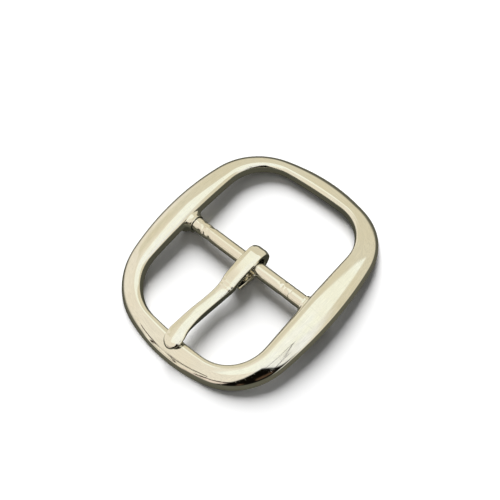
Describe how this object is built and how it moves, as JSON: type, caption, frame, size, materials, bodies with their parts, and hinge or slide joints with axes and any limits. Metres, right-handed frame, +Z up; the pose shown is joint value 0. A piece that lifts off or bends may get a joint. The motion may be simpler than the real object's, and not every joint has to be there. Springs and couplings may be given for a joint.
{
  "type": "belt buckle",
  "caption": "Centre-bar belt buckle: arched rounded-rectangle cast loop, round bar set in two lugs, and a pivoting prong bent round the bar.",
  "frame": {"origin": "centre of the overall box's bottom face, on the table that the buckle lies on", "axes": "+X along the bar, +Y along the belt away from the prong's tip, +Z up out of the buckle's front"},
  "size_m": [0.055, 0.065, 0.0067],
  "materials": {
    "nickel_frame": "polished nickel plate, faint warm tint, light handling wear",
    "nickel_bar": "nickel plate, a little duller, with crimp marks",
    "nickel_prong": "polished nickel plate, brushed along the shank"
  },
  "bodies": {
    "buckle_frame": {"frame": "nickel_frame", "bar": "nickel_bar"},
    "prong": {"prong": "nickel_prong"}
  },
  "joints": [
    {"name": "prong_pivot", "type": "hinge", "parent": "buckle_frame", "child": "prong", "pos_m": [0, -0.00075, 0.00325], "axis": [-1, 0, 0], "range_deg": [0, 175]}
  ]
}
